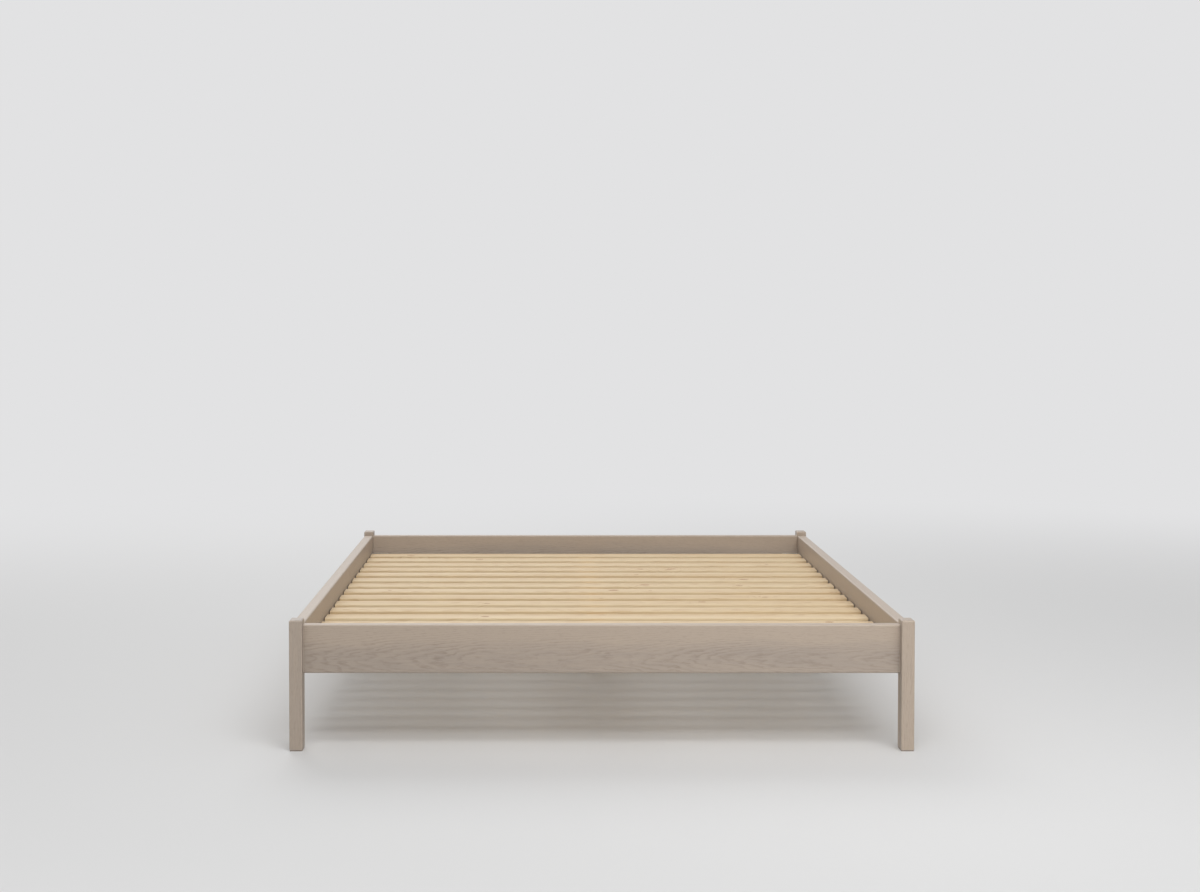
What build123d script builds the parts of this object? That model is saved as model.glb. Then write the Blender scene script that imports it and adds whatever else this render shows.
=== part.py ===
from build123d import *

import os

# A low wooden bed frame of the standard double size, in millimetres.
# X runs across the bed, Y from the foot end to the head end, and Z up.
# The origin is on the floor, under the middle of the frame.

# Standard double sleeping size, and the ease around it
sleeping_width = 1372.0
sleeping_length = 1905.0
side_ease = 20.0
end_ease = 12.5

# Posts, rails and slats
post_width = 31.0
post_depth = 50.0
post_top = 309.0
post_edge = 3.0
post_top_edge = 4.0
post_foot_chamfer = 0.8
rail_thickness = 28.0
rail_height = 115.0
rail_bottom = 181.0
rail_edge = 4.0
side_rail_reveal = 1.0
well_depth = 53.0
slat_count = 15
slat_width = 70.0
slat_thickness = 18.0
slat_edge = 3.0
slat_end_gap = 3.0

# Ledgers, centre beam and centre leg
ledger_width = 25.0
ledger_height = 35.0
ledger_edge = 2.0
ledger_start = 57.0
slat_inset_on_ledger = 4.0
beam_width = 45.0
beam_height = 40.0
beam_edge = 2.0
leg_y = 70.0
leg_radius = 22.0
leg_edge = 2.0

# Glides under the posts, each with a nail moulded in
glide_height = 3.0
glide_margin = 0.8
nail_radius = 1.2
nail_head_radius = 4.0
nail_head_bottom = 1.2
nail_head_height = 1.0
nail_length = 28.0

# Glued dowels of the end rails, and locating dowels of the side rails
end_dowel_radius = 5.0
end_dowel_length = 50.0
end_dowel_in_post = 22.0
end_dowel_spacing = 38.0
side_dowel_radius = 4.0
side_dowel_length = 36.0
side_dowel_in_post = 20.0
dowel_chamfer = 0.8
dowel_end_room = 1.0

# Corner brackets and their M8 bolts
bracket_leg = 54.0
bracket_height = 50.0
bracket_thickness = 4.0
bracket_above_rail_bottom = 7.0
bracket_outer_bend = 5.0
bracket_inner_bend = 2.0
bracket_corner = 6.0
bracket_hole_radius = 4.5
bolt_distances = (24.0, 44.0)
bolt_radius = 4.0
bolt_length = 20.0
bolt_head_radius = 7.0
bolt_head_height = 4.4
bolt_head_round = 3.3
bolt_socket_across_flats = 5.0
bolt_socket_depth = 2.6
washer_radius = 8.0
washer_hole_radius = 4.2
washer_thickness = 1.6
insert_radius = 6.0
insert_length = 18.0
insert_sink = 0.5
insert_hole_depth = 20.5

# Saddles that carry the centre beam
saddle_plate = 2.5
saddle_half_width = 50.0
saddle_height = 40.0
saddle_reach = 45.0
saddle_cheek_height = 32.0
saddle_corner = 6.0
saddle_side_room = 0.5
saddle_end_room = 1.0
saddle_screw_x = 38.0
saddle_screw_heights = (10.0, 30.0)

# Top plate and hanger bolt of the centre leg
leg_plate_size = (44.0, 90.0)
leg_plate_thickness = 3.0
leg_plate_corner = 5.0
leg_plate_screw_at = (14.0, 34.0)
weld_nut_across_flats = 13.0
weld_nut_height = 6.5
weld_nut_room_radius = 9.0
weld_nut_room_depth = 9.0
hanger_radius = 4.0
hanger_in_leg = 30.0
hanger_tip = 1.0

# Screw leveller under the centre leg, with its travel up and down from where the pad meets the floor
leveller_rise = 15.0
leveller_drop = 5.0
leveller_stop_room = 1.0
leveller_insert_radius = 7.0
leveller_insert_depth = 18.0
leveller_flange_radius = 13.0
leveller_flange_height = 2.0
stem_radius = 5.0
stem_bore_radius = 5.6
stem_end_room = 3.0
stem_foot_radius = 6.0
stem_collar_across_flats = 17.0
stem_collar_bottom = 10.5
stem_collar_height = 5.5
pad_radius = 20.0
pad_rim_height = 4.0
pad_top_radius = 10.0
pad_height = 10.0
pad_floor = 4.0

# Wood screws: head radius, shank radius, length
ledger_screw = (5.0, 2.5, 45.0)
leg_plate_screw = (4.0, 2.0, 25.0)
saddle_screw = (4.0, 2.0, 22.0)
saddle_screw_head = 2.6
saddle_screw_head_bevel = 1.4
saddle_screw_room = 0.2
screw_tip = 6.0
screw_slot_width = 1.1
screw_slot_depth = 1.6
screw_slot_share = 0.65
ledger_screw_count = 7
ledger_screw_end = 60.0

# Webbing tapes under the slats, with their staples, and pegs on the ledgers
tape_x = 430.0
tape_width = 30.0
tape_thickness = 1.2
tape_past_slat_middle = 25.0
staple_offset = 15.0
staple_crown = 11.0
staple_wire = (1.2, 0.7)
staple_in_slat = 9.0
peg_radius = 4.0
peg_hole_radius = 4.5
peg_in_ledger = 20.0
peg_in_slat = 12.0
peg_end_room = 2.0

# Clearance round each piece that sits in a hole
fit = 0.05

# Sizes worked out from the above
half_inside_width = sleeping_width / 2 + side_ease
half_inside_length = sleeping_length / 2 + end_ease
side_x = half_inside_width + rail_thickness / 2
post_x = half_inside_width + rail_thickness + side_rail_reveal - post_width / 2
post_y = half_inside_length + post_depth / 2
end_y = half_inside_length + rail_thickness / 2
post_inner_x = post_x - post_width / 2
rail_top = rail_bottom + rail_height
rail_middle = rail_bottom + rail_height / 2
glide_corner = post_edge - glide_margin
slat_top = rail_top - well_depth
slat_bottom = slat_top - slat_thickness
slat_length = 2 * (half_inside_width - slat_end_gap)
ledger_inner_x = half_inside_width - ledger_width
ledger_bottom = slat_bottom - ledger_height
half_ledger = half_inside_length - ledger_start
beam_bottom = slat_bottom - beam_height
beam_length = 2 * (half_inside_length - saddle_plate - saddle_end_room)
saddle_bottom = beam_bottom - saddle_plate
leg_top = beam_bottom - leg_plate_thickness
stem_collar_top = stem_collar_bottom + stem_collar_height
leveller_flange_bottom = stem_collar_top + leveller_rise + leveller_stop_room
leg_bottom = leveller_flange_bottom + leveller_flange_height
stem_top = leveller_flange_bottom + leveller_drop + 2 * stem_radius
stem_bore_top = stem_top + leveller_rise + stem_end_room
first_slat_y = half_ledger - slat_inset_on_ledger - slat_width / 2
slat_pitch = 2 * first_slat_y / (slat_count - 1)
slat_places = [-first_slat_y + slat_pitch * number for number in range(slat_count)]
peg_x = (ledger_inner_x + slat_length / 2) / 2
end_dowel_heights = [rail_middle + step * end_dowel_spacing for step in (-1, 0, 1)]
side_dowel_heights = [rail_middle + step * end_dowel_spacing / 2 for step in (-1, 1)]
bracket_bottom = rail_bottom + bracket_above_rail_bottom
bolt_height = bracket_bottom + bracket_height / 2

sides = {"left": -1, "right": 1}
ends = {"foot": -1, "head": 1}
standing = (Align.CENTER, Align.CENTER, Align.MIN)

# Each inside corner of the frame, with its own X and Y pointing along the two rails
corners = {
    "foot_left": Pos(-half_inside_width, -half_inside_length) * Rot(0, 0, 0),
    "foot_right": Pos(half_inside_width, -half_inside_length) * Rot(0, 0, 90),
    "head_right": Pos(half_inside_width, half_inside_length) * Rot(0, 0, 180),
    "head_left": Pos(-half_inside_width, half_inside_length) * Rot(0, 0, 270),
}


# Plain shapes that several pieces share

def bar(size_x, size_y, size_z):
    """A square-edged bar standing on Z = 0, centred on X and Y."""
    return Box(size_x, size_y, size_z, align=standing)


def rod(radius, bottom, top):
    """A round rod along Z."""
    return Pos(0, 0, bottom) * Cylinder(radius, top - bottom, align=standing)


def eased(piece, axis, radius):
    """The piece with the edges along one axis rounded."""
    return fillet(piece.edges().filter_by(axis), radius)


def hexagon(across_flats, bottom, height):
    """A hexagonal prism along Z."""
    outline = RegularPolygon(across_flats / 2, 6, major_radius=False)
    return Pos(0, 0, bottom) * extrude(outline, height)


def turned(*outline):
    """A round piece from its half outline, as pairs of radius and height."""
    return revolve(Plane.XZ * Polygon(*outline, align=None), Axis.Z)


def group(pieces):
    """Separate solids that share one node."""
    return Compound(children=list(pieces))


# Dowels and the holes that they sit in

def dowel(radius, length):
    """A dowel along Z, centred, with chamfered ends."""
    piece = Cylinder(radius, length)
    return chamfer(piece.edges(), dowel_chamfer)


def dowel_hole(radius, length):
    """The hole for a dowel, with room for glue at both ends."""
    return Cylinder(radius + fit, length + 2 * dowel_end_room)


def end_dowel_places(side, end):
    """Where the dowels between one end rail and one post lie."""
    x = side * (post_inner_x + end_dowel_in_post - end_dowel_length / 2)
    return [Pos(x, end * end_y, z) * Rot(0, 90, 0) for z in end_dowel_heights]


def side_dowel_places(side, end):
    """Where the dowels between one side rail and one post lie."""
    y = end * (half_inside_length + side_dowel_in_post - side_dowel_length / 2)
    return [Pos(side * side_x, y, z) * Rot(90, 0, 0) for z in side_dowel_heights]


# Screws, which stand with the wood's face at Z = 0 and their tip below it

def countersunk_screw(head_radius, shank_radius, length, room=0.0):
    """A wood screw with a flush head, or with some room its hole."""
    head_height = head_radius - shank_radius
    return turned(
        (0, 0),
        (head_radius + room, 0),
        (shank_radius + room, -head_height),
        (shank_radius + room, -(length - screw_tip)),
        (0, -length - room),
    )


def cross_slot(head_radius, top):
    """The cross-shaped recess of a screw head."""
    arm = Box(2 * screw_slot_share * head_radius, screw_slot_width, 2 * screw_slot_depth)
    return Pos(0, 0, top) * (arm + Rot(0, 0, 90) * arm)


def flush_screw(size):
    """A countersunk screw with its recess."""
    return countersunk_screw(*size) - cross_slot(size[0], 0)


def pan_screw(size):
    """A pan-head screw on a plate of the saddle's thickness."""
    head_radius, shank_radius, length = size
    top = saddle_plate + saddle_screw_head
    body = turned(
        (0, top),
        (head_radius - saddle_screw_head_bevel, top),
        (head_radius, top - saddle_screw_head_bevel),
        (head_radius, saddle_plate),
        (shank_radius, saddle_plate),
        (shank_radius, saddle_plate - length + screw_tip),
        (0, saddle_plate - length),
    )
    return body - cross_slot(head_radius, top)


# Corner bracket set, at an inside corner whose rails run along +X and +Y

def bolt_places():
    """Where the bolts of one bracket pass the wood's face, with Z out of the wood."""
    on_end_rail = [Pos(far, 0, bolt_height) * Rot(-90, 0, 0) for far in bolt_distances]
    on_side_rail = [Pos(0, far, bolt_height) * Rot(0, 90, 0) for far in bolt_distances]
    return on_end_rail + on_side_rail


def corner_bracket():
    """A steel angle bent from one strip."""
    outline = Polygon(
        (0, 0),
        (bracket_leg, 0),
        (bracket_leg, bracket_thickness),
        (bracket_thickness, bracket_thickness),
        (bracket_thickness, bracket_leg),
        (0, bracket_leg),
        align=None,
    )
    by_distance = outline.vertices().sort_by_distance((0, 0, 0))
    outline = fillet(by_distance[0], bracket_outer_bend)
    by_distance = outline.vertices().sort_by_distance((bracket_thickness, bracket_thickness, 0))
    outline = fillet(by_distance[0], bracket_inner_bend)
    plate = Pos(0, 0, bracket_bottom) * extrude(outline, bracket_height)
    free_ends = plate.edges().filter_by(Axis.Y).group_by(Axis.X)[-1]
    free_ends += plate.edges().filter_by(Axis.X).group_by(Axis.Y)[-1]
    plate = fillet(free_ends, bracket_corner)
    for place in bolt_places():
        plate -= place * rod(bracket_hole_radius, -bracket_thickness, 2 * bracket_thickness)
    return plate


def corner_bolt():
    """An M8 button-head bolt through washer and bracket."""
    seat = bracket_thickness + washer_thickness
    shank = rod(bolt_radius, seat - bolt_length, seat)
    head = rod(bolt_head_radius, seat, seat + bolt_head_height)
    head = fillet(head.edges().sort_by(Axis.Z)[-1], bolt_head_round)
    socket_bottom = seat + bolt_head_height - bolt_socket_depth
    return shank + head - hexagon(bolt_socket_across_flats, socket_bottom, bolt_socket_depth)


def corner_washer():
    """A flat washer on the bracket."""
    top = bracket_thickness + washer_thickness
    return rod(washer_radius, bracket_thickness, top) - rod(washer_hole_radius, bracket_thickness, top)


def corner_insert():
    """A threaded sleeve sunk in the rail."""
    bottom = -insert_sink - insert_length
    return rod(insert_radius, bottom, -insert_sink) - rod(bolt_radius + fit, bottom, -insert_sink)


def insert_hole():
    """The rail's hole for one threaded sleeve."""
    return rod(insert_radius + fit, -insert_hole_depth, insert_sink)


def at_every_bolt(make):
    """One copy of a piece at each bolt of the four brackets."""
    return group(corner * place * make() for corner in corners.values() for place in bolt_places())


# Posts and rails

def nail(room=0.0):
    """The nail of a post glide, head down, or with some room its hole."""
    head_bottom = nail_head_bottom - room
    head_top = nail_head_bottom + nail_head_height + room
    return (
        rod(nail_head_radius + room, head_bottom, head_top)
        + rod(nail_radius + room, head_bottom, nail_length + room)
    )


def post_glide():
    """A nylon pad that keeps a post off the floor."""
    pad = bar(post_width - 2 * glide_margin, post_depth - 2 * glide_margin, glide_height)
    return eased(pad, Axis.Z, glide_corner) - nail(fit)


def post_blank():
    """A post before drilling, with softened sides and a top that is rounded over along X and Y."""
    plain = bar(post_width, post_depth, post_top - glide_height)
    blank = eased(plain, Axis.Z, post_edge)
    for axis in (Axis.X, Axis.Y):
        blank &= fillet(plain.edges().filter_by(axis).group_by(Axis.Z)[-1], post_top_edge)
    blank = chamfer(blank.faces().sort_by(Axis.Z)[0].edges(), post_foot_chamfer)
    return Pos(0, 0, glide_height) * blank


def post(side, end):
    """A corner post, drilled for dowels and its glide."""
    body = Pos(side * post_x, end * post_y) * (post_blank() - nail(fit))
    for place in end_dowel_places(side, end):
        body -= place * dowel_hole(end_dowel_radius, end_dowel_length)
    for place in side_dowel_places(side, end):
        body -= place * dowel_hole(side_dowel_radius, side_dowel_length)
    return body


def drilled_for_brackets(rail):
    """A rail with the holes of the threaded sleeves that lie in it."""
    for corner in corners.values():
        for place in bolt_places():
            rail -= corner * place * insert_hole()
    return rail


def end_rail(end):
    """The rail between the two posts of one end."""
    rail = eased(bar(2 * post_inner_x, rail_thickness, rail_height), Axis.X, rail_edge)
    rail = drilled_for_brackets(Pos(0, end * end_y, rail_bottom) * rail)
    for side in sides.values():
        for place in end_dowel_places(side, end):
            rail -= place * dowel_hole(end_dowel_radius, end_dowel_length)
    for place in saddle_screw_places(end):
        rail -= place * rod(saddle_screw[1] + fit, -saddle_screw[2], 0)
    return rail


def side_rail(side):
    """The rail between the foot post and the head post of one side."""
    rail = eased(bar(rail_thickness, 2 * half_inside_length, rail_height), Axis.Y, rail_edge)
    rail = drilled_for_brackets(Pos(side * side_x, 0, rail_bottom) * rail)
    for end in ends.values():
        for place in side_dowel_places(side, end):
            rail -= place * dowel_hole(side_dowel_radius, side_dowel_length)
    for place in ledger_screw_places(side):
        rail -= place * countersunk_screw(*ledger_screw, room=fit)
    return rail


# Ledgers, beam and saddles

def ledger_screw_places(side):
    """Where the screws of one ledger go in, with Z out of the wood."""
    reach = half_ledger - ledger_screw_end
    step = 2 * reach / (ledger_screw_count - 1)
    z = ledger_bottom + ledger_height / 2
    turn = Rot(0, -90 * side, 0)
    return [
        Pos(side * ledger_inner_x, -reach + step * number, z) * turn
        for number in range(ledger_screw_count)
    ]


def peg_places(side):
    """Where the pegs of one ledger stand, on its top face."""
    return [Pos(side * peg_x, y, slat_bottom) for y in (slat_places[0], slat_places[-1])]


def slat_ledger(side):
    """The strip inside a side rail that the slats lie on."""
    strip = eased(bar(ledger_width, 2 * half_ledger, ledger_height), Axis.Y, ledger_edge)
    strip = Pos(side * (ledger_inner_x + ledger_width / 2), 0, ledger_bottom) * strip
    for place in ledger_screw_places(side):
        strip -= place * countersunk_screw(*ledger_screw, room=fit)
    for place in peg_places(side):
        strip -= place * rod(peg_radius + fit, -peg_in_ledger, peg_in_ledger)
    return strip


def saddle_screw_places(end):
    """Where the screws of one saddle go in, with Z out of the wood."""
    turn = Rot(90 * end, 0, 0)
    return [
        Pos(side * saddle_screw_x, end * half_inside_length, saddle_bottom + height) * turn
        for side in sides.values()
        for height in saddle_screw_heights
    ]


def beam_saddle(end):
    """A folded steel shoe on an end rail, open at the top for the centre beam."""
    half_gap = beam_width / 2 + saddle_side_room
    back = Pos(0, saddle_plate / 2) * bar(2 * saddle_half_width, saddle_plate, saddle_height)
    back = eased(back, Axis.Y, saddle_corner)
    floor = Pos(0, saddle_reach / 2) * bar(2 * (half_gap + saddle_plate), saddle_reach, saddle_plate)
    shoe = back + floor
    for side in sides.values():
        cheek = bar(saddle_plate, saddle_reach, saddle_cheek_height)
        front_top = cheek.edges().filter_by(Axis.X).sort_by(Axis.Y)[-2:].sort_by(Axis.Z)[-1]
        cheek = fillet(front_top, saddle_corner)
        shoe += Pos(side * (half_gap + saddle_plate / 2), saddle_reach / 2) * cheek
    facing = 0 if end < 0 else 180
    shoe = Rot(0, 0, facing) * Pos(0, -half_inside_length, saddle_bottom) * shoe
    for place in saddle_screw_places(end):
        shoe -= place * rod(saddle_screw[1] + saddle_screw_room, -saddle_plate, 2 * saddle_plate)
    return shoe


def leg_plate_screw_places():
    """Where the leg plate's screws go in, on its lower face, with Z down."""
    x, y = leg_plate_screw_at
    return [
        Pos(across * x, leg_y + along * y, leg_top) * Rot(180, 0, 0)
        for across in (-1, 1)
        for along in (-1, 1)
    ]


def centre_beam():
    """The long beam under the middle of the slats."""
    beam = eased(bar(beam_width, beam_length, beam_height), Axis.Y, beam_edge)
    beam = Pos(0, 0, beam_bottom) * beam
    beam -= Pos(0, leg_y, beam_bottom) * rod(weld_nut_room_radius, 0, weld_nut_room_depth)
    for place in leg_plate_screw_places():
        beam -= place * countersunk_screw(*leg_plate_screw, room=fit)
    return beam


# Centre leg with its plate and leveller

def centre_leg():
    """A round leg, drilled at the top for its bolt and at the bottom for the leveller."""
    body = rod(leg_radius, leg_bottom, leg_top)
    body = chamfer(body.edges(), leg_edge)
    body -= rod(hanger_radius + fit, leg_top - hanger_in_leg, leg_top)
    body -= rod(leveller_insert_radius + fit, leg_bottom, leg_bottom + leveller_insert_depth)
    body -= rod(stem_bore_radius, leg_bottom, stem_bore_top)
    return Pos(0, leg_y) * body


def leg_plate():
    """A steel plate under the beam, with a nut welded on top for the leg's bolt."""
    plate = bar(*leg_plate_size, leg_plate_thickness)
    plate = Pos(0, leg_y, leg_top) * eased(plate, Axis.Z, leg_plate_corner)
    plate += Pos(0, leg_y) * hexagon(weld_nut_across_flats, beam_bottom, weld_nut_height)
    plate -= Pos(0, leg_y) * rod(hanger_radius + fit, leg_top, beam_bottom + weld_nut_height)
    for place in leg_plate_screw_places():
        plate -= place * countersunk_screw(*leg_plate_screw, room=fit)
    return plate


def leg_hanger_bolt():
    """A headless bolt that screws into the leg and into the plate's nut."""
    bolt = rod(hanger_radius, leg_top - hanger_in_leg, beam_bottom + weld_nut_height)
    return Pos(0, leg_y) * chamfer(bolt.edges(), hanger_tip)


def leveller_insert():
    """A flanged threaded sleeve in the foot of the leg."""
    top = leg_bottom + leveller_insert_depth
    sleeve = rod(leveller_insert_radius, leveller_flange_bottom, top)
    sleeve += rod(leveller_flange_radius, leveller_flange_bottom, leg_bottom)
    return Pos(0, leg_y) * (sleeve - rod(stem_radius + fit, leveller_flange_bottom, top))


def leveller_stem():
    """A threaded stem with a hexagonal collar and a round foot that turns in the pad.

    At its lowest, one stem diameter of its thread is still in the sleeve.
    """
    stem = rod(stem_foot_radius, pad_floor, stem_collar_bottom)
    stem += hexagon(stem_collar_across_flats, stem_collar_bottom, stem_collar_height)
    stem += rod(stem_radius, stem_collar_top, stem_top)
    return Pos(0, leg_y) * chamfer(stem.edges().sort_by(Axis.Z)[-1], hanger_tip)


def leveller_pad():
    """A round foot with a socket for the stem."""
    return Pos(0, leg_y) * turned(
        (0, 0),
        (pad_radius, 0),
        (pad_radius, pad_rim_height),
        (pad_top_radius, pad_height),
        (stem_foot_radius + fit, pad_height),
        (stem_foot_radius + fit, pad_floor),
        (0, pad_floor),
    )


# Slats, tapes, staples and pegs

def slat(y):
    """One slat with rounded edges, and peg holes below if it is the first or the last."""
    board = eased(bar(slat_length, slat_width, slat_thickness), Axis.X, slat_edge)
    board = Pos(0, y, slat_bottom) * board
    if y in (slat_places[0], slat_places[-1]):
        for side in sides.values():
            board -= Pos(side * peg_x, y, slat_bottom) * rod(peg_hole_radius, 0, peg_in_slat + peg_end_room)
    return board


def slat_tape(side):
    """A flat webbing tape stapled under all the slats."""
    length = 2 * (first_slat_y + tape_past_slat_middle)
    strip = bar(tape_width, length, tape_thickness)
    return Pos(side * tape_x, 0, slat_bottom - tape_thickness) * strip


def tape_staple():
    """A wire staple below a tape, with its legs up in the slat."""
    wide, thick = staple_wire
    wire_bottom = -tape_thickness - thick
    crown = Pos(0, 0, wire_bottom) * bar(staple_crown, wide, thick)
    for side in sides.values():
        leg_x = side * (staple_crown - thick) / 2
        crown += Pos(leg_x, 0, wire_bottom) * bar(thick, wide, staple_in_slat - wire_bottom)
    return crown


def tape_staples():
    """Two staples where each tape crosses each slat."""
    return group(
        Pos(side * tape_x, y + step * staple_offset, slat_bottom) * tape_staple()
        for side in sides.values()
        for y in slat_places
        for step in (-1, 1)
    )


def slat_peg():
    """A wooden peg that stands in a ledger."""
    return chamfer(rod(peg_radius, -peg_in_ledger, peg_in_slat).edges(), dowel_chamfer)


# All the nodes

nodes = {
    "foot_rail": end_rail(-1),
    "head_rail": end_rail(1),
    "centre_beam": centre_beam(),
    "centre_leg": centre_leg(),
    "leg_plate": leg_plate(),
    "leg_hanger_bolt": leg_hanger_bolt(),
    "leveller_insert": leveller_insert(),
    "leveller_stem": leveller_stem(),
    "leveller_pad": leveller_pad(),
    "corner_bolts": at_every_bolt(corner_bolt),
    "corner_washers": at_every_bolt(corner_washer),
    "corner_inserts": at_every_bolt(corner_insert),
    "tape_staples": tape_staples(),
}

for corner_name, corner in corners.items():
    nodes[f"corner_bracket_{corner_name}"] = corner * corner_bracket()

for side_name, side in sides.items():
    nodes[f"side_rail_{side_name}"] = side_rail(side)
    nodes[f"slat_ledger_{side_name}"] = slat_ledger(side)
    nodes[f"slat_tape_{side_name}"] = slat_tape(side)
    for end_name, end in ends.items():
        nodes[f"post_{end_name}_{side_name}"] = post(side, end)
        nodes[f"post_glide_{end_name}_{side_name}"] = Pos(side * post_x, end * post_y) * post_glide()

for end_name, end in ends.items():
    nodes[f"beam_saddle_{end_name}"] = beam_saddle(end)

for number, y in enumerate(slat_places, start=1):
    nodes[f"slat_{number:02d}"] = slat(y)

every_post = [(side, end) for side in sides.values() for end in ends.values()]
nodes["glide_nails"] = group(Pos(side * post_x, end * post_y) * nail() for side, end in every_post)
nodes["end_rail_dowels"] = group(
    place * dowel(end_dowel_radius, end_dowel_length)
    for side, end in every_post
    for place in end_dowel_places(side, end)
)
nodes["side_rail_dowels"] = group(
    place * dowel(side_dowel_radius, side_dowel_length)
    for side, end in every_post
    for place in side_dowel_places(side, end)
)
nodes["ledger_screws"] = group(
    place * flush_screw(ledger_screw) for side in sides.values() for place in ledger_screw_places(side)
)
nodes["saddle_screws"] = group(
    place * pan_screw(saddle_screw) for end in ends.values() for place in saddle_screw_places(end)
)
nodes["leg_plate_screws"] = group(
    place * flush_screw(leg_plate_screw) for place in leg_plate_screw_places()
)
nodes["slat_pegs"] = group(place * slat_peg() for side in sides.values() for place in peg_places(side))

os.makedirs("parts", exist_ok=True)
for name, shape in nodes.items():
    export_step(shape, f"parts/{name}.step")
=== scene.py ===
import math
import random
from typing import NamedTuple

import bpy
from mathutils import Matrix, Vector


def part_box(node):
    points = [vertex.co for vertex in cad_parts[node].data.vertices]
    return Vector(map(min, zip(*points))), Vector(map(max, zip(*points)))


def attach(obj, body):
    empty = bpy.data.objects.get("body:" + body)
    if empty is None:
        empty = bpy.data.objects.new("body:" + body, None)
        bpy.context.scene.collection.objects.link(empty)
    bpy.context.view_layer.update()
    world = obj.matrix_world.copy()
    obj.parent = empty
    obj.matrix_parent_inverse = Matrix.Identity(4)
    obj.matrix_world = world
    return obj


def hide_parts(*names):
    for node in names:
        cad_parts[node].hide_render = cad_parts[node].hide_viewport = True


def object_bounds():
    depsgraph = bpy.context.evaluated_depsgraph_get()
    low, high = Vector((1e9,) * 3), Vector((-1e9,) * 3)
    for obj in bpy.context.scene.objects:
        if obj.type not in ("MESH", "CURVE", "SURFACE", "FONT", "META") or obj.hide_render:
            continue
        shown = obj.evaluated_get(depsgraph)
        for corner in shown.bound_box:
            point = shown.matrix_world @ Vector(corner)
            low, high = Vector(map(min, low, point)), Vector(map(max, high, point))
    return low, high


# Looks of a low wooden bed frame: the finish of every piece, the webbing tapes, the thread of the leveller's
# stem, and a plain studio.
# Everything is in metres. X runs across the bed, Y from the foot end to the head end, and Z up.

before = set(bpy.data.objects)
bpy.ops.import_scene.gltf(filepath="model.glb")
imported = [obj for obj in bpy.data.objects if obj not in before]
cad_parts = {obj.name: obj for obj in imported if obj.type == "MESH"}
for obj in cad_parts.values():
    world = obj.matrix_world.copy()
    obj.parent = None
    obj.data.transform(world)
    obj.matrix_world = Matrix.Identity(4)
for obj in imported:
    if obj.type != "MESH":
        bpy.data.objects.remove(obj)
cad_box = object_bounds()

# Camera: a view from in front of the foot end, as pixels of a 1200 by 892 picture, metres and radians
picture_width = 1200
picture_height = 892
vanishing_point = (545, 319)
focal_pixels = 2021
camera_height = 1.0162
camera_distance = 4.720
camera_left = 0.1336
camera_tilt = math.radians(2.0)
sensor_width = 36.0

sides = ("left", "right")
ends = ("foot", "head")
corners = [f"{end}_{side}" for end in ends for side in sides]
slats = sorted(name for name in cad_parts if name.removeprefix("slat_").isdigit())


# Materials and meshes

def shade(red, green, blue):
    """A colour as it looks on a screen, from 0 to 255, in the linear values that shaders take.

    The numbers are those of the sRGB standard.
    """
    screen = [level / 255 for level in (red, green, blue)]
    linear = [c / 12.92 if c <= 0.04045 else ((c + 0.055) / 1.055) ** 2.4 for c in screen]
    return (*linear, 1.0)


def even(cells):
    """The same number of cells along all three axes."""
    return (cells, cells, cells)


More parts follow.
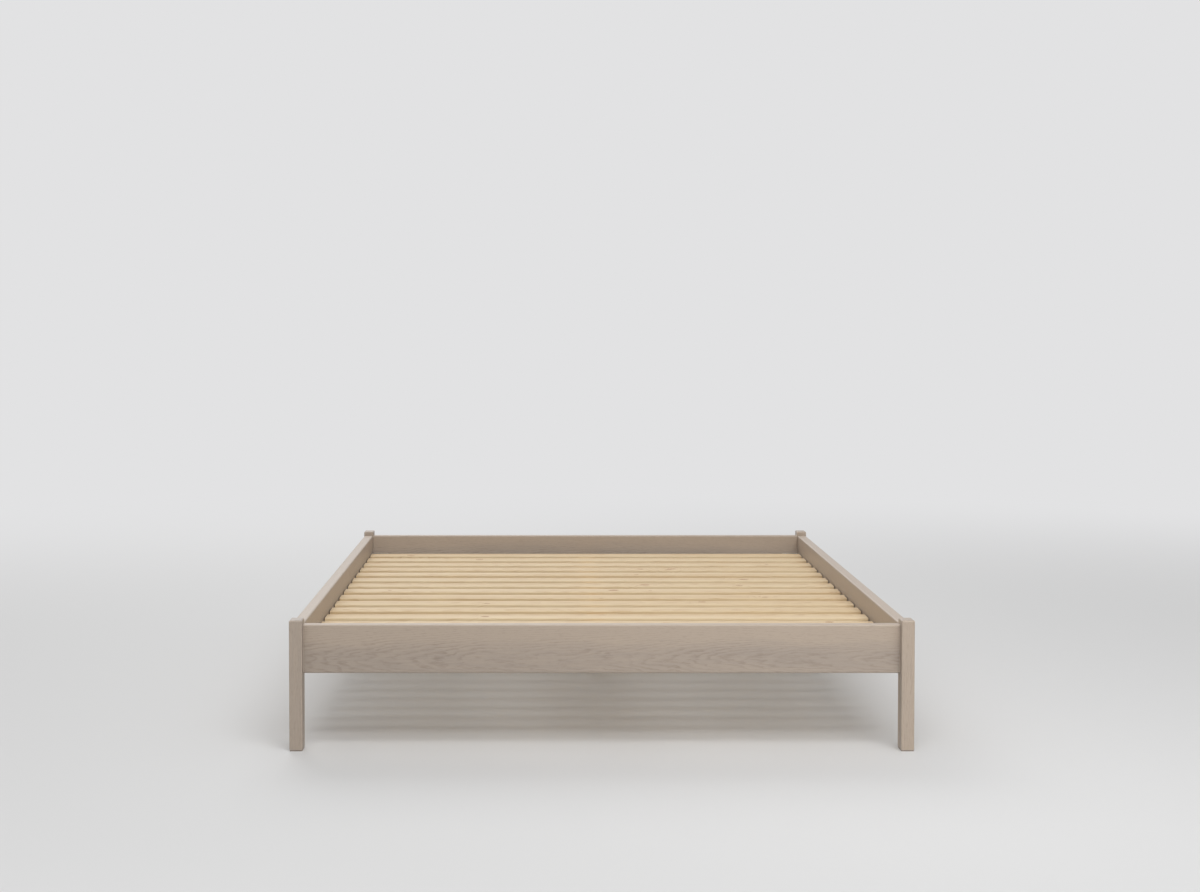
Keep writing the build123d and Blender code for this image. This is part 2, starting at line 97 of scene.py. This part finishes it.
class Graph:
    """The node tree of one new material, with short ways to add nodes to it."""

    farthest_offset = 40
    noise_middle = 0.5

    def __init__(self, name):
        self.material = bpy.data.materials.new(name)
        self.material.use_nodes = True
        self.tree = self.material.node_tree
        self.shader = self.tree.nodes["Principled BSDF"]
        dice = random.Random(name)
        self.offset = [dice.uniform(0, self.farthest_offset) for _ in range(3)]

    def add(self, kind, inputs=(), **settings):
        """A new node with its settings, and with inputs by number or name."""
        node = self.tree.nodes.new("ShaderNode" + kind)
        for name, value in settings.items():
            setattr(node, name, value)
        for key, value in dict(inputs).items():
            self.feed(node.inputs[key], value)
        return node

    def feed(self, socket, value):
        """Links a socket to another node's output, or sets its value."""
        if isinstance(value, bpy.types.NodeSocket):
            self.tree.links.new(value, socket)
        else:
            socket.default_value = value

    def place(self):
        """The place of a point in the frame."""
        return self.add("TexCoord").outputs["Object"]

    def math(self, operation, *values):
        """A sum on single numbers."""
        return self.add("Math", enumerate(values), operation=operation).outputs[0]

    def vector(self, operation, *values):
        """A sum on vectors."""
        node = self.add("VectorMath", enumerate(values), operation=operation)
        return node.outputs["Value" if operation == "LENGTH" else "Vector"]

    def split(self, vector):
        """The three numbers of a vector."""
        return list(self.add("SeparateXYZ", {0: vector}).outputs)

    def join(self, *numbers):
        """A vector from up to three numbers."""
        return self.add("CombineXYZ", enumerate(numbers)).outputs[0]

    def noise(self, place, cells, detail=2.0, roughness=0.5, output="Fac"):
        """Noise from 0 to 1 over a place, with its cells per metre along each axis."""
        scaled = self.vector("MULTIPLY_ADD", place, cells, self.offset)
        inputs = {"Vector": scaled, "Scale": 1.0, "Detail": detail, "Roughness": roughness}
        return self.add("TexNoise", inputs).outputs[output]

    def sway(self, place, cells, detail):
        """A vector of noise round zero."""
        colour = self.noise(place, cells, detail, output="Color")
        return self.vector("SUBTRACT", colour, even(self.noise_middle))

    def centred(self, noise):
        """A noise moved to lie round zero."""
        return self.math("SUBTRACT", noise, self.noise_middle)

    def between(self, noise, start, end):
        """A number that goes evenly from start to end while a noise goes from 0 to 1."""
        return self.math("MULTIPLY_ADD", noise, end - start, start)

    def step(self, value, low, high, start=0.0, end=1.0):
        """A smooth step from start to end while the value goes from low to high."""
        inputs = {"Value": value, "From Min": low, "From Max": high, "To Min": start, "To Max": end}
        return self.add("MapRange", inputs, interpolation_type="SMOOTHSTEP").outputs[0]

    def mix(self, share, first, second):
        """A mix of two colours, with a share of the second."""
        return self.add("Mix", {0: share, 6: first, 7: second}, data_type="RGBA").outputs[2]

    def finish(self, colour, roughness, height=None, depth=0.0, **uniform):
        """Feeds the shader, with a bump of some depth and its uniform values, and gives the material."""
        self.feed(self.shader.inputs["Base Color"], colour)
        self.feed(self.shader.inputs["Roughness"], roughness)
        if height is not None:
            bump = self.add("Bump", {"Height": height, "Distance": depth, "Strength": 1.0})
            self.feed(self.shader.inputs["Normal"], bump.outputs[0])
        for name, value in uniform.items():
            self.shader.inputs[name.replace("_", " ")].default_value = value
        return self.material


def paint(node, material):
    """Gives a CAD node its finish."""
    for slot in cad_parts[node].material_slots:
        slot.material = material


def new_piece(name, points, faces, material):
    """A new object in the scene, with a mesh of its own."""
    mesh = bpy.data.meshes.new(name)
    mesh.from_pydata(points, [], faces)
    mesh.materials.append(material)
    piece = bpy.data.objects.new(name, mesh)
    bpy.context.scene.collection.objects.link(piece)
    return piece


def grid_faces(rows, columns, closed=False):
    """The faces of a grid of points, row by row. A closed grid joins its last column to its first."""
    faces = []
    for start in range(0, (rows - 1) * columns, columns):
        above = start + columns
        for column in range(columns if closed else columns - 1):
            following = (column + 1) % columns
            faces.append((start + column, start + following, above + following, above + column))
    return faces


# Wood, as a solid with year rings round a pith that runs beside each board

class Timber(NamedTuple):
    """A kind of wood: its shades, its year rings, and what shows on top of them."""

    name: str
    pale: tuple  # straight grain, towards a board's edges
    deep: tuple  # arched grain, over the heart of a board
    line: tuple  # ring lines and pores
    edge: tuple  # rubbed edges
    ring: float  # a year's growth
    pith: tuple  # least and greatest distance from the middle of a board to its pith
    ripple: float  # how far the rings waver
    early: float  # share of the year at which the early line has faded
    late: float  # share of the year at which the late line starts
    lines: float  # strength of the ring lines
    gaps: float  # strength that is left where a line is broken
    calm: float  # how much the lines fade towards a board's edges
    flecks: float  # strength of the pores
    knots: tuple  # numbers of knots that a board may have
    roughness: float
    coat: float  # weight of the lacquer


oak = Timber(
    name="oak",
    pale=shade(177, 161, 145),
    deep=shade(163, 150, 138),
    line=shade(118, 103, 90),
    edge=shade(192, 178, 163),
    ring=0.0033,
    pith=(0.060, 0.090),
    ripple=0.008,
    early=0.5,
    late=0.8,
    lines=0.37,
    gaps=0.2,
    calm=0.7,
    flecks=0.2,
    knots=(0,),
    roughness=0.56,
    coat=0.35,
)

pine = Timber(
    name="pine",
    pale=shade(222, 201, 166),
    deep=shade(212, 187, 148),
    line=shade(180, 140, 97),
    edge=shade(229, 211, 179),
    ring=0.0042,
    pith=(0.030, 0.075),
    ripple=0.003,
    early=0.08,
    late=0.35,
    lines=0.55,
    gaps=0.7,
    calm=0.2,
    flecks=0.0,
    knots=(0, 1, 1, 2, 3),
    roughness=0.62,
    coat=0.0,
)

beech = Timber(
    name="beech",
    pale=shade(214, 184, 145),
    deep=shade(203, 170, 130),
    line=shade(168, 128, 90),
    edge=shade(222, 196, 160),
    ring=0.003,
    pith=(0.040, 0.060),
    ripple=0.004,
    early=0.1,
    late=0.6,
    lines=0.2,
    gaps=0.5,
    calm=0.0,
    flecks=0.3,
    knots=(0,),
    roughness=0.6,
    coat=0.0,
)

# Where the grain arches across a board, from -1 at one edge to 1 at the other, and how far from there it
# turns into the straight grain of the flanks, in shares of half the board's width
# On the rails the heart lies below the middle, so their lower half takes the deep shade: partly the arched
# grain's own tone, and partly painted shade, darker towards the bottom where less light falls
low_rail_heart_for_painted_shade = -0.45
farthest_heart = 0.6
flank_start = 0.2
flank_end = 1.2

# Tones of boards, where more than 0 is nearer the pale shade: those in view at the foot end, and all others.
# The listed tones are partly the boards' own tone and partly painted light and shade: the left foot post is
# painted darker, and the right foot post and right side rail paler, for light that is stronger on the right
listed_tones_with_painted_light = {"post_foot_left": -0.25, "post_foot_right": 0.5, "side_rail_right": 0.2}
farthest_tone = 0.25
patch_in_tone = 1.2
streak_in_tone = 1.4

# Year rings: slant of the pith, wander of the rings, ripple left on the flanks, and how uneven the years are
pith_slant = (0.045, 0.065)
ring_wander = 0.020
flank_ripple = 0.2
uneven_cells = 70.0
uneven_years = 1.6

# Knots: their spread over half a board, size, slant, shape and rings, and how they push the year rings aside
knot_spread = (0.92, 0.75)
knot_radius = (0.003, 0.010)
knot_slant = 0.8
knot_squeeze = 0.7
knot_rings = 2.3
knot_ragged_cells = 120.0
knot_push = 1.6
knot_push_reach = 6.0
knot_wood = shade(172, 121, 77)
knot_wood_strength = 0.75
knot_rim = shade(112, 74, 46)
knot_rim_strength = 0.6

# Pores, rubbed edges, gloss and relief
pores_in_late_wood = 0.4
pore_strength = 1.2
wear_start = 0.0006
wear_end = 0.0028
wear_strength = (0.15, 0.6)
gloss_spread = 0.06
pore_roughness = 0.12
lacquer_roughness = 0.3
line_relief = -0.3
streak_relief = 0.4
pore_relief = -0.8
relief_per_fleck = 3
wood_relief_depth = 0.0002
wood_specular = 0.4


def board_space(graph, low, high):
    """A place from a board's middle, along the grain, across its face and through it, and half its size."""
    parts = graph.split(graph.vector("SUBTRACT", graph.place(), (low + high) / 2))
    size = high - low
    order = sorted(range(3), key=lambda axis: -size[axis])
    half = [size[axis] / 2 for axis in order]
    return graph.join(*[parts[axis] for axis in order]), half


def edge_distance(graph, place, half):
    """How far a point on a board is from the nearest of the board's edges."""
    a, b, c = graph.split(graph.vector("SUBTRACT", half, graph.vector("ABSOLUTE", place)))
    nearest = graph.math("MINIMUM", a, graph.math("MINIMUM", b, c))
    farthest = graph.math("MAXIMUM", a, graph.math("MAXIMUM", b, c))
    total = graph.math("ADD", a, graph.math("ADD", b, c))
    return graph.math("SUBTRACT", total, graph.math("ADD", nearest, farthest))


def knot_field(graph, place, half, count, dice):
    """Knots that slant through a board: how far they push the year rings, their wood and their own rings."""
    push, core, rim = 0.0, 0.0, 0.0
    ragged = graph.centred(graph.noise(place, even(knot_ragged_cells)))
    for _ in range(count):
        middle = [dice.uniform(-spread, spread) * reach for spread, reach in zip(knot_spread, half)]
        radius = dice.uniform(*knot_radius)
        slant = dice.uniform(-knot_slant, knot_slant)
        along, across, through = graph.split(graph.vector("SUBTRACT", place, (*middle, 0.0)))
        along = graph.math("MULTIPLY_ADD", through, slant, along)
        squeezed = graph.math("MULTIPLY", along, knot_squeeze)
        distance = graph.vector("LENGTH", graph.join(squeezed, across))
        radii = graph.math("ADD", graph.math("DIVIDE", distance, radius), ragged)
        aside = graph.step(radii, low=0.0, high=knot_push_reach, start=knot_push * radius, end=0.0)
        push = graph.math("ADD", push, aside)
        inside = graph.step(radii, low=0.9, high=1.25, start=1.0, end=0.0)
        core = graph.math("MAXIMUM", core, inside)
        rings = graph.math("PINGPONG", graph.math("MULTIPLY", radii, knot_rings), 0.5)
        dark = graph.math("MULTIPLY", inside, graph.step(rings, low=0.15, high=0.5))
        rim = graph.math("MAXIMUM", rim, dark)
    return push, core, rim


def year_rings(graph, place, timber, heart, flank, dice, push):
    """Where a point lies within its year ring, from 0 at the early wood to 1. The flanks run straighter."""
    reach = dice.uniform(*timber.pith) * dice.choice((-1, 1))
    slant = dice.uniform(*pith_slant) * dice.choice((-1, 1))
    along, across, through = graph.split(place)
    slow = graph.sway(place, (2.6, 6.0, 6.0), detail=2.0)
    fine = graph.sway(place, (18.0, 95.0, 95.0), detail=3.0)
    wander = graph.vector("MULTIPLY", slow, (0.0, ring_wander, ring_wander))
    ripple = graph.vector("MULTIPLY", fine, graph.between(flank, 1.0, flank_ripple))
    ripple = graph.vector("MULTIPLY", ripple, (0.0, timber.ripple, timber.ripple))
    section = graph.join(0.0, across, graph.math("MULTIPLY_ADD", along, slant, through))
    from_pith = graph.vector("SUBTRACT", section, (0.0, heart, reach))
    radius = graph.vector("LENGTH", graph.vector("ADD", from_pith, graph.vector("ADD", wander, ripple)))
    radius = graph.math("ADD", radius, push)
    uneven = graph.noise(graph.join(radius), (uneven_cells, 0.0, 0.0), detail=1.0)
    years = graph.math("MULTIPLY_ADD", uneven, uneven_years, graph.math("DIVIDE", radius, timber.ring))
    return graph.math("FRACT", years)


def strands(graph, place, along, across, detail=2.0, roughness=0.5):
    """Noise drawn out along the grain, with its cells per metre along and across it."""
    return graph.noise(place, (along, across, across), detail, roughness)


def ring_marks(graph, place, timber, phase, flank):
    """The lines of the year rings, and the pores in them as short flecks and as fine hairs."""
    bold = strands(graph, place, along=9.0, across=30.0)
    broken = strands(graph, place, along=45.0, across=190.0)
    dash = strands(graph, place, along=75.0, across=430.0, detail=1.0)
    hair = strands(graph, place, along=60.0, across=1800.0)
    early = graph.step(phase, low=0.02, high=timber.early, start=1.0, end=0.0)
    late = graph.step(phase, low=timber.late, high=0.99)
    line = graph.math("MAXIMUM", early, late)
    line = graph.math("MULTIPLY", line, graph.step(broken, low=0.3, high=0.65, start=timber.gaps))
    line = graph.math("MULTIPLY", line, graph.between(flank, 1.0, 1.0 - timber.calm))
    line = graph.math("MULTIPLY", line, graph.step(bold, low=0.35, high=0.65, start=0.4))
    porous = graph.between(early, pores_in_late_wood, 1.0)
    fleck = graph.math("MULTIPLY", graph.step(dash, low=0.52, high=0.72), porous)
    pore = graph.math("MULTIPLY", graph.step(hair, low=0.56, high=0.70), porous)
    return line, fleck, pore


def rubbed_edges(graph, place, half):
    """How much the edges of a board are rubbed pale."""
    scuff = graph.noise(place, even(30.0), detail=3.0)
    least, most = wear_strength
    worn = graph.step(edge_distance(graph, place, half), wear_start, wear_end, start=1.0, end=0.0)
    return graph.math("MULTIPLY", worn, graph.step(scuff, low=0.35, high=0.65, start=least, end=most))


def wood(node, timber, heart=None):
    """The finish of one board, with its own rings, fibres, pores, knots and worn edges.

    The heart is where across the board its grain arches and its deeper shade lies, from -1 at one edge to 1
    at the other. On the rails it is set low, which also paints shade on their lower half.
    """
    low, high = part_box(node)
    dice = random.Random(node)
    graph = Graph(f"{timber.name}_{node}")
    place, half = board_space(graph, low, high)
    push, core, rim = knot_field(graph, place, half, dice.choice(timber.knots), dice)
    chance = dice.uniform(-farthest_heart, farthest_heart)
    # The listed tones hold painted shade on the left foot post, and painted light on the right foot post and
    # right side rail
    tone_of_board_with_painted_light = listed_tones_with_painted_light.get(node, dice.uniform(-farthest_tone, farthest_tone))
    heart_across = (chance if heart is None else heart) * half[1]
    off_heart = graph.math("ABSOLUTE", graph.math("SUBTRACT", graph.split(place)[1], heart_across))
    flank = graph.step(off_heart, flank_start * half[1], flank_end * half[1])
    phase = year_rings(graph, place, timber, heart_across, flank, dice, push)
    line, fleck, pore = ring_marks(graph, place, timber, phase, flank)
    patch = strands(graph, place, along=2.0, across=12.0)
    streak = strands(graph, place, along=14.0, across=240.0, detail=3.0, roughness=0.6)

    tone = graph.math("ADD", flank, tone_of_board_with_painted_light)
    tone = graph.math("MULTIPLY_ADD", graph.centred(patch), patch_in_tone, tone)
    tone = graph.math("MULTIPLY_ADD", graph.centred(streak), streak_in_tone, tone)
    colour = graph.mix(tone, timber.deep, timber.pale)
    marks = [
        (line, timber.lines, timber.line),
        (fleck, timber.flecks, timber.line),
        (pore, pore_strength * timber.flecks, timber.line),
        (core, knot_wood_strength, knot_wood),
        (rim, knot_rim_strength, knot_rim),
    ]
    for mark, strength, ink in marks:
        colour = graph.mix(graph.math("MULTIPLY", mark, strength), colour, ink)
    colour = graph.mix(rubbed_edges(graph, place, half), colour, timber.edge)

    roughness = graph.between(streak, timber.roughness - gloss_spread, timber.roughness + gloss_spread)
    roughness = graph.math("MULTIPLY_ADD", pore, pore_roughness, roughness)
    height = graph.math("MULTIPLY_ADD", line, line_relief, graph.math("MULTIPLY", streak, streak_relief))
    pore_depth = pore_relief * min(1.0, relief_per_fleck * timber.flecks)
    height = graph.math("MULTIPLY_ADD", pore, pore_depth, height)
    return graph.finish(
        colour,
        roughness,
        height,
        wood_relief_depth,
        Specular_IOR_Level=wood_specular,
        Coat_Weight=timber.coat,
        Coat_Roughness=lacquer_roughness,
    )


# Metal and plastic

zinc_cool = shade(196, 199, 204)
zinc_warm = shade(206, 203, 194)
zinc_dull = shade(168, 172, 179)
spangle_cells = 260.0
spangle_strength = 0.22
oxide_black = shade(44, 44, 47)
oxide_grey = shade(62, 60, 59)
rubbed_steel = shade(120, 118, 116)
brass_bright = shade(214, 178, 104)
brass_dull = shade(190, 150, 82)
nylon_clean = shade(142, 131, 121)
nylon_dusty = shade(156, 146, 135)


def zinc_steel():
    """Zinc-plated steel with a faint spangle."""
    graph = Graph("zinc_steel")
    place = graph.place()
    spangle = graph.add("TexVoronoi", {"Vector": place, "Scale": spangle_cells}).outputs["Color"]
    cloud = graph.noise(place, even(45.0), detail=4.0)
    scratch = graph.noise(place, (1200.0, 90.0, 600.0), detail=3.0)
    grain = graph.split(spangle)[0]
    colour = graph.mix(graph.step(cloud, low=0.35, high=0.65), zinc_cool, zinc_warm)
    colour = graph.mix(graph.math("MULTIPLY", grain, spangle_strength), colour, zinc_dull)
    roughness = graph.between(scratch, start=0.26, end=0.48)
    return graph.finish(colour, roughness, scratch, depth=0.000024, Metallic=1.0)


def black_steel():
    """Black oxide on steel, rubbed through a little."""
    graph = Graph("black_steel")
    place = graph.place()
    cloud = graph.noise(place, even(160.0), detail=4.0)
    fleck = graph.noise(place, even(900.0))
    colour = graph.mix(graph.step(cloud, low=0.35, high=0.7), oxide_black, oxide_grey)
    colour = graph.mix(graph.step(fleck, low=0.68, high=0.74, end=0.5), colour, rubbed_steel)
    roughness = graph.between(cloud, start=0.28, end=0.53)
    return graph.finish(colour, roughness, fleck, depth=0.00004, Metallic=0.85)


def brass():
    """Turned brass."""
    graph = Graph("brass")
    cloud = graph.noise(graph.place(), even(220.0), detail=3.0)
    colour = graph.mix(graph.step(cloud, low=0.3, high=0.7), brass_bright, brass_dull)
    roughness = graph.between(cloud, start=0.22, end=0.42)
    return graph.finish(colour, roughness, cloud, depth=0.00003, Metallic=1.0)


def nylon():
    """Grey-brown moulded nylon with a fine spark-eroded texture."""
    graph = Graph("nylon")
    place = graph.place()
    grain = graph.noise(place, even(1400.0))
    dust = graph.noise(place, even(60.0), detail=4.0)
    colour = graph.mix(graph.step(dust, low=0.4, high=0.75), nylon_clean, nylon_dusty)
    roughness = graph.between(grain, start=0.45, end=0.65)
    return graph.finish(colour, roughness, grain, depth=0.00006, Specular_IOR_Level=0.4)


# Webbing tapes under the slats

tape_sag = 0.0022
sag_roundness = 1.5
tape_columns = 8
tape_rows_per_gap = 8
warp_pitch = 0.0016
weft_pitch = 0.0011
warp_base = 0.15
weft_base = 0.35
yarn_light = shade(232, 228, 217)
yarn_shadow = shade(176, 170, 156)
yarn_soiled = shade(206, 199, 183)


def webbing():
    """Woven polyester tape: ribs along it, a fine weft across them, and painted shade between the yarns."""
    graph = Graph("webbing")
    place = graph.place()
    x, y, _ = graph.split(place)
    rib = graph.math("DIVIDE", x, warp_pitch)
    over = graph.math("MULTIPLY", graph.math("FLOOR", rib), 0.5)
    pick = graph.math("ADD", graph.math("DIVIDE", y, weft_pitch), over)
    warp = graph.math("PINGPONG", rib, 0.5)
    weft = graph.math("PINGPONG", pick, 0.5)
    weave_relief_and_painted_shade = graph.math("MULTIPLY", graph.math("ADD", warp, warp_base), graph.math("ADD", weft, weft_base))
    soil = graph.noise(place, (25.0, 12.0, 25.0), detail=4.0)
    thread = graph.noise(place, (1500.0, 220.0, 1500.0))
    # The hollows of the weave are painted darker with the yarn's shaded copy, as painted shade between the
    # yarns
    colour = graph.mix(graph.step(weave_relief_and_painted_shade, low=0.05, high=0.42), yarn_shadow, yarn_light)
    colour = graph.mix(graph.step(soil, low=0.45, high=0.8, end=0.5), colour, yarn_soiled)
    roughness = graph.between(thread, start=0.75, end=0.90)
    return graph.finish(colour, roughness, weave_relief_and_painted_shade, depth=0.0007, Sheen_Weight=0.25, Sheen_Roughness=0.5)


def tape_line(low, high):
    """The tape's path along Y, as pairs of place and drop: flat below each slat, sagging between."""
    path = [(low.y, 0.0)]
    edges = [(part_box(slat)[0].y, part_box(slat)[1].y) for slat in slats]
    for (_, gap_start), (gap_end, _) in zip(edges, edges[1:]):
        for row in range(tape_rows_per_gap + 1):
            share = row / tape_rows_per_gap
            drop = tape_sag * math.sin(math.pi * share) ** sag_roundness
            path.append((gap_start + share * (gap_end - gap_start), drop))
    path.append((high.y, 0.0))
    return path


def tape(node, material):
    """One flat tape, stapled tight below the slats and slack by a little between them."""
    low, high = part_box(node)
    path = tape_line(low, high)
    across = [low.x + (high.x - low.x) * column / tape_columns for column in range(tape_columns + 1)]
    points = [(x, y, high.z - drop) for y, drop in path for x in across]
    piece = new_piece(node + "_woven", points, grid_faces(len(path), len(across)), material)
    piece.data.shade_smooth()
    thickness = piece.modifiers.new("thickness", "SOLIDIFY")
    thickness.thickness = high.z - low.z
    thickness.offset = -1.0
    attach(piece, "slat_roll")
    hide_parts(node)


# Leveller stem: a round foot, a hexagonal collar and a shank with a rolled thread

thread_pitch = 0.0015
thread_depth = 0.6 * thread_pitch
thread_rings_per_turn = 12
stem_columns = 36
stem_turns = [column / stem_columns for column in range(stem_columns)]
outline_digits = 5
sharp_from = math.radians(50)


def stem_outline(node, axis):
    """The radii of the plain CAD stem's corners about its own axis, at each of their heights."""
    radii_at = {}
    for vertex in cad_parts[node].data.vertices:
        point = vertex.co - axis
        height = round(point.z, outline_digits)
        radii_at.setdefault(height, []).append(round(point.xy.length, outline_digits))
    return radii_at


def hexagon_radius(turn, corner_radius):
    """How far the edge of a hexagon with a corner at the start of the turn is from its middle."""
    from_flat = (turn * 6) % 1.0 - 0.5
    return corner_radius * math.cos(math.pi / 6) / math.cos(from_flat * math.pi / 3)


def thread_groove(turn, height):
    """How deep a right-hand thread is at a point, from 0 on its crest to 1 at its root."""
    return 0.5 - 0.5 * math.cos(2 * math.pi * (height / thread_pitch - turn))


def stem_rings(radii_at):
    """The stem as rings from its foot to its tip, each with its height and the radii round it."""
    foot_bottom, stem_top = min(radii_at), max(radii_at)
    foot_radius = max(radii_at[foot_bottom])
    collar = [height for height, radii in radii_at.items() if max(radii) > foot_radius]
    collar_bottom, collar_top = min(collar), max(collar)
    corner_radius = max(radii_at[collar_top])
    shank_radius = min(radii_at[collar_top])
    tip_bottom = max(height for height, radii in radii_at.items() if max(radii) == shank_radius)

    foot = [foot_radius] * stem_columns
    hexagon = [hexagon_radius(turn, corner_radius) for turn in stem_turns]
    rings = [(foot_bottom, foot), (collar_bottom, foot), (collar_bottom, hexagon), (collar_top, hexagon)]
    steps = round((stem_top - collar_top) / thread_pitch * thread_rings_per_turn)
    for step in range(steps + 1):
        height = collar_top + (stem_top - collar_top) * step / steps
        run_in = min(1.0, (height - collar_top) / thread_pitch)
        tip = shank_radius - max(0.0, height - tip_bottom)
        cuts = [run_in * thread_depth * thread_groove(turn, height) for turn in stem_turns]
        rings.append((height, [min(tip, shank_radius - cut) for cut in cuts]))
    return rings


def threaded_stem(node, material):
    """The stem as one closed mesh, with its thread cut into the CAD shank."""
    low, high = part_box(node)
    axis = (low + high) / 2
    axis.z = 0.0
    rings = stem_rings(stem_outline(node, axis))
    points = []
    for height, radii in rings:
        for turn, radius in zip(stem_turns, radii):
            angle = 2 * math.pi * turn
            points.append(axis + Vector((radius * math.cos(angle), radius * math.sin(angle), height)))
    bottom = list(reversed(range(stem_columns)))
    top = list(range(len(points) - stem_columns, len(points)))
    faces = [bottom, *grid_faces(len(rings), stem_columns, closed=True), top]
    piece = new_piece(node + "_threaded", points, faces, material)
    piece.data.shade_smooth()
    piece.data.set_sharp_from_angle(angle=sharp_from)
    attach(piece, "leveller_screw")
    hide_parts(node)


# Studio: a pale floor that fades into the background, and soft light from the front and above

class Lamp(NamedTuple):
    """A soft rectangular lamp at a place, turned to a point, with its light kept within a spread."""

    name: str
    place: tuple
    aim: tuple
    size: tuple
    power: float
    spread: float


background = shade(226, 226, 227)
floor_shade = shade(218, 218, 218)
floor_roughness = 0.7
floor_specular = 0.2
floor_reach = 40.0
fade_start = 1.8
fade_end = 6.0
world_strength = 0.42
lamps = [
    Lamp(
        "front_light",
        place=(0.9, -5.6, 6.4),
        aim=(0.0, -0.4, 0.1),
        size=(7.0, 5.0),
        power=360.0,
        spread=math.pi,
    ),
    Lamp(
        "right_light",
        place=(1.1, -3.9, 1.8),
        aim=(0.8, -1.0, 0.25),
        size=(1.4, 1.0),
        power=2.1,
        spread=math.radians(50),
    ),
    Lamp(
        "back_light",
        place=(-1.5, 6.0, 5.0),
        aim=(0.0, 0.6, 0.1),
        size=(5.0, 4.0),
        power=190.0,
        spread=math.pi,
    ),
]


def seen_or_mirrored(tree):
    """1 for a ray from the camera, also off a mirror or through glass, and 0 for light."""
    path = tree.nodes.new("ShaderNodeLightPath")
    share = path.outputs["Is Camera Ray"]
    for ray in ("Is Glossy Ray", "Is Transmission Ray"):
        either = tree.nodes.new("ShaderNodeMath")
        either.operation = "MAXIMUM"
        tree.links.new(share, either.inputs[0])
        tree.links.new(path.outputs[ray], either.inputs[1])
        share = either.outputs[0]
    return share


def studio_floor():
    """A large plain floor whose far part takes the background's colour."""
    graph = Graph("floor")
    place = graph.add("NewGeometry").outputs["Position"]
    far = graph.step(graph.vector("LENGTH", place), fade_start, fade_end)
    seen = seen_or_mirrored(graph.tree)
    glow = graph.add("Emission", {"Color": background})
    blend = graph.add("MixShader", {0: graph.math("MULTIPLY", far, seen), 1: graph.shader.outputs[0]})
    graph.feed(blend.inputs[2], glow.outputs[0])
    graph.feed(graph.tree.nodes["Material Output"].inputs["Surface"], blend.outputs[0])
    graph.finish(floor_shade, floor_roughness, Specular_IOR_Level=floor_specular)
    square = [(-1, -1), (1, -1), (1, 1), (-1, 1)]
    points = [(x * floor_reach, y * floor_reach, 0.0) for x, y in square]
    floor = new_piece("floor", points, [(0, 1, 2, 3)], graph.material)


def studio_world():
    """Even light from all round, with the background's colour where it is seen or mirrored."""
    world = bpy.data.worlds.new("studio")
    world.use_nodes = True
    bpy.context.scene.world = world
    tree = world.node_tree
    light = tree.nodes["Background"]
    light.inputs["Color"].default_value = (1.0, 1.0, 1.0, 1.0)
    light.inputs["Strength"].default_value = world_strength
    shown = tree.nodes.new("ShaderNodeBackground")
    shown.inputs["Color"].default_value = background
    blend = tree.nodes.new("ShaderNodeMixShader")
    tree.links.new(seen_or_mirrored(tree), blend.inputs[0])
    tree.links.new(light.outputs[0], blend.inputs[1])
    tree.links.new(shown.outputs[0], blend.inputs[2])
    tree.links.new(blend.outputs[0], tree.nodes["World Output"].inputs["Surface"])


def softbox(lamp):
    """Hangs up one lamp."""
    light = bpy.data.lights.new(lamp.name, "AREA")
    light.shape = "RECTANGLE"
    light.size, light.size_y = lamp.size
    light.energy = lamp.power
    light.spread = lamp.spread
    piece = bpy.data.objects.new(lamp.name, light)
    piece.location = lamp.place
    piece.rotation_euler = (Vector(lamp.aim) - Vector(lamp.place)).to_track_quat("-Z", "Y").to_euler()
    piece.visible_camera = False
    bpy.context.scene.collection.objects.link(piece)


def photo_camera():
    """A camera in front of the foot end that looks down a little, shifted as the picture is framed."""
    data = bpy.data.cameras.new("camera")
    data.sensor_width = sensor_width
    data.lens = sensor_width * focal_pixels / picture_width
    data.shift_x = (picture_width / 2 - vanishing_point[0]) / picture_width
    centre_row = vanishing_point[1] + focal_pixels * math.tan(camera_tilt)
    data.shift_y = (centre_row - picture_height / 2) / picture_width
    camera = bpy.data.objects.new("camera", data)
    camera.location = (-camera_left, cad_box[0].y - camera_distance, camera_height)
    camera.rotation_euler = (math.pi / 2 - camera_tilt, 0.0, 0.0)
    bpy.context.scene.collection.objects.link(camera)
    bpy.context.scene.camera = camera


# Finish of every piece

for name in ["foot_rail", "head_rail"] + [f"side_rail_{side}" for side in sides]:
    # The rails' low heart paints shade on their lower half
    paint(name, wood(name, oak, heart=low_rail_heart_for_painted_shade))
for corner in corners:
    paint(f"post_{corner}", wood(f"post_{corner}", oak))
for name in slats + ["centre_beam", "centre_leg"] + [f"slat_ledger_{side}" for side in sides]:
    paint(name, wood(name, pine))
for name in ("end_rail_dowels", "side_rail_dowels", "slat_pegs"):
    paint(name, wood(name, beech))

zinc = zinc_steel()
zinc_nodes = [f"corner_bracket_{corner}" for corner in corners] + [f"beam_saddle_{end}" for end in ends]
zinc_nodes += ["leg_plate", "leg_hanger_bolt", "leveller_insert", "corner_washers", "glide_nails"]
zinc_nodes += ["ledger_screws", "saddle_screws", "leg_plate_screws", "tape_staples"]
for name in zinc_nodes:
    paint(name, zinc)
threaded_stem("leveller_stem", zinc)

paint("corner_bolts", black_steel())
paint("corner_inserts", brass())
plastic = nylon()
for name in [f"post_glide_{corner}" for corner in corners] + ["leveller_pad"]:
    paint(name, plastic)

woven = webbing()
for side in sides:
    tape(f"slat_tape_{side}", woven)

photo_camera()
studio_floor()
studio_world()
for lamp in lamps:
    softbox(lamp)
bpy.context.scene.view_settings.view_transform = "Standard"
